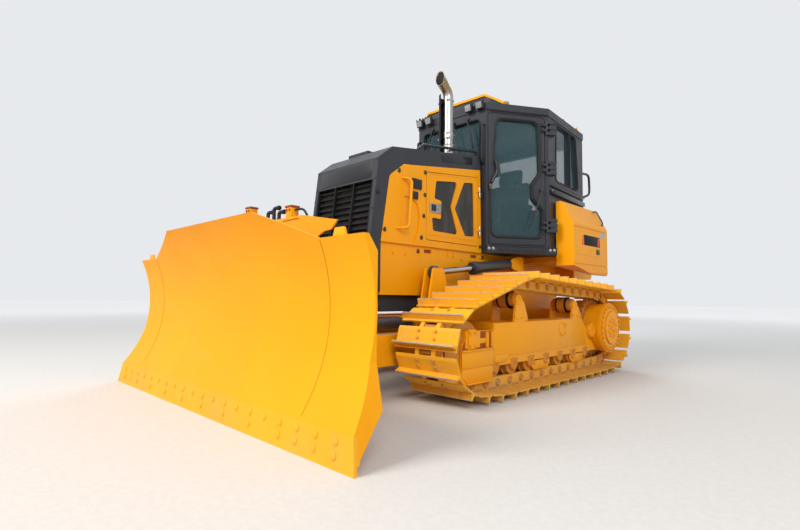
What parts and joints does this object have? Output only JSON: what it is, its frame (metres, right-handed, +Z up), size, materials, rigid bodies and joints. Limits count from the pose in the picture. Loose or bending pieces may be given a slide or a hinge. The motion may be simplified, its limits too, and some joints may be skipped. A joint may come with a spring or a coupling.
{
  "type": "bulldozer",
  "caption": "Yellow crawler bulldozer with a curved angling and tilting blade, louvred nose, angular black cab, bent exhaust stack and long tracks with toothed shoes.",
  "frame": {"origin": "on the ground under the middle of the machine's overall box", "axes": "+Z up, blade toward -Y, the machine's left side toward +X"},
  "size_m": [3.2, 4.8, 2.8929],
  "materials": {
    "yellow": "gloss",
    "charcoal": "satin",
    "black": "matt",
    "chrome": "polished",
    "bright_steel": "polished",
    "glass": "clear",
    "cushion": "matt",
    "iron": "matt",
    "radiator": "matt"
  },
  "bodies": {
    "tractor": {"chassis": "yellow", "side_panel_left": "yellow", "side_panel_right": "yellow", "fender_left": "yellow", "fender_right": "yellow", "fuel_tank": "yellow", "track_left": "yellow", "track_right": "yellow", "track_frame_left": "yellow", "track_frame_right": "yellow", "track_rollers_left": "yellow", "track_rollers_right": "yellow", "carrier_rollers": "yellow", "idlers": "yellow", "sprockets": "yellow", "final_drives": "yellow", "drawbar": "yellow", "roof_visor_front": "yellow", "roof_visor_rear": "yellow", "nose": "charcoal", "hood_cover": "charcoal", "cab_base": "charcoal", "cab_frame": "charcoal", "cab_roof": "charcoal", "belly_guard": "charcoal", "hood_handrail": "charcoal", "grille": "black", "console": "black", "stack_shield": "black", "exhaust_stack": "bright_steel", "cab_glass": "glass", "seat": "cushion", "engine": "iron", "radiator": "radiator"},
    "push_frame": {"push_frame": "yellow", "angle_barrel_left": "charcoal", "angle_barrel_right": "charcoal"},
    "swing_frame": {"swing_frame": "yellow"},
    "blade": {"blade": "yellow", "cutting_edge": "yellow"},
    "cab_door_left": {"cab_door_left": "charcoal", "door_glass_left": "glass"},
    "cab_door_right": {"cab_door_right": "charcoal", "door_glass_right": "glass"},
    "engine_door_left": {"engine_door_left": "yellow", "engine_mesh_left": "black"},
    "engine_door_right": {"engine_door_right": "yellow", "engine_mesh_right": "black"},
    "radiator_lid": {"radiator_lid": "charcoal"},
    "tilt_barrel": {"tilt_barrel": "charcoal"},
    "tilt_rod": {"tilt_rod": "chrome"},
    "lift_barrel_left": {"lift_barrel_left": "charcoal"},
    "lift_rod_left": {"lift_rod_left": "chrome"},
    "angle_rod_left": {"angle_rod_left": "chrome"},
    "lift_barrel_right": {"lift_barrel_right": "charcoal"},
    "lift_rod_right": {"lift_rod_right": "chrome"},
    "angle_rod_right": {"angle_rod_right": "chrome"}
  },
  "joints": [
    {"name": "blade_lift", "type": "hinge", "parent": "tractor", "child": "push_frame", "pos_m": [0, 0.08, 0.45], "axis": [-1, 0, 0], "range_deg": [-10, 22]},
    {"name": "blade_angle", "type": "hinge", "parent": "push_frame", "child": "swing_frame", "pos_m": [0, -1.86, 0.37], "axis": [0, 0, 1], "range_deg": [-25, 25]},
    {"name": "blade_tilt", "type": "hinge", "parent": "swing_frame", "child": "blade", "pos_m": [0, -2.068, 0.37], "axis": [0, 1, 0], "range_deg": [-8, 8]},
    {"name": "lift_barrel_swing_left", "type": "hinge", "parent": "tractor", "child": "lift_barrel_left", "pos_m": [0.52, 0.57, 1.105], "axis": [-1, 0, 0], "range_deg": [-6, 12.5]},
    {"name": "lift_rod_slide_left", "type": "slide", "parent": "lift_barrel_left", "child": "lift_rod_left", "axis": [0, -0.9939, -0.1107], "range_m": [-0.255, 0.125]},
    {"name": "angle_rod_slide_left", "type": "slide", "parent": "push_frame", "child": "angle_rod_left", "axis": [0, -1, 0], "range_m": [-0.225, 0.225]},
    {"name": "lift_barrel_swing_right", "type": "hinge", "parent": "tractor", "child": "lift_barrel_right", "pos_m": [-0.52, 0.57, 1.105], "axis": [-1, 0, 0], "range_deg": [-6, 12.5]},
    {"name": "lift_rod_slide_right", "type": "slide", "parent": "lift_barrel_right", "child": "lift_rod_right", "axis": [0, -0.9939, -0.1107], "range_m": [-0.255, 0.125]},
    {"name": "angle_rod_slide_right", "type": "slide", "parent": "push_frame", "child": "angle_rod_right", "axis": [0, -1, 0], "range_m": [-0.225, 0.225]},
    {"name": "tilt_barrel_swing", "type": "hinge", "parent": "swing_frame", "child": "tilt_barrel", "pos_m": [-0.09, -2, 0.95], "axis": [0, 1, 0], "range_deg": [-8.5, 8.5]},
    {"name": "tilt_rod_slide", "type": "slide", "parent": "tilt_barrel", "child": "tilt_rod", "axis": [-0.9755, 0, -0.2198], "range_m": [-0.09, 0.09]},
    {"name": "cab_door_swing_left", "type": "hinge", "parent": "tractor", "child": "cab_door_left", "pos_m": [0.81578, 0.79576, 1.9], "axis": [0, 0, 1], "range_deg": [0, 108]},
    {"name": "cab_door_swing_right", "type": "hinge", "parent": "tractor", "child": "cab_door_right", "pos_m": [-0.81578, 0.79576, 1.9], "axis": [0, 0, -1], "range_deg": [0, 108]},
    {"name": "engine_door_swing_left", "type": "hinge", "parent": "tractor", "child": "engine_door_left", "pos_m": [0.412, 0.184, 1.6], "axis": [0, 0, 1], "range_deg": [0, 90]},
    {"name": "engine_door_swing_right", "type": "hinge", "parent": "tractor", "child": "engine_door_right", "pos_m": [-0.412, 0.184, 1.6], "axis": [0, 0, -1], "range_deg": [0, 90]},
    {"name": "radiator_lid_swing", "type": "hinge", "parent": "tractor", "child": "radiator_lid", "pos_m": [-0.07, -0.815, 2.03295], "axis": [-1, 0, 0], "range_deg": [0, 80]}
  ],
  "couplings": [
    {"joint": "lift_barrel_swing_left", "follows": "blade_lift", "ratio": 0.5378},
    {"joint": "lift_rod_slide_left", "follows": "blade_lift", "m_per_rad": -0.6253},
    {"joint": "angle_rod_slide_left", "follows": "blade_angle", "m_per_rad": -0.508},
    {"joint": "lift_barrel_swing_right", "follows": "blade_lift", "ratio": 0.5378},
    {"joint": "lift_rod_slide_right", "follows": "blade_lift", "m_per_rad": -0.6253},
    {"joint": "angle_rod_slide_right", "follows": "blade_angle", "m_per_rad": 0.508},
    {"joint": "tilt_barrel_swing", "follows": "blade_tilt", "ratio": 0.9456},
    {"joint": "tilt_rod_slide", "follows": "blade_tilt", "m_per_rad": -0.5843}
  ]
}
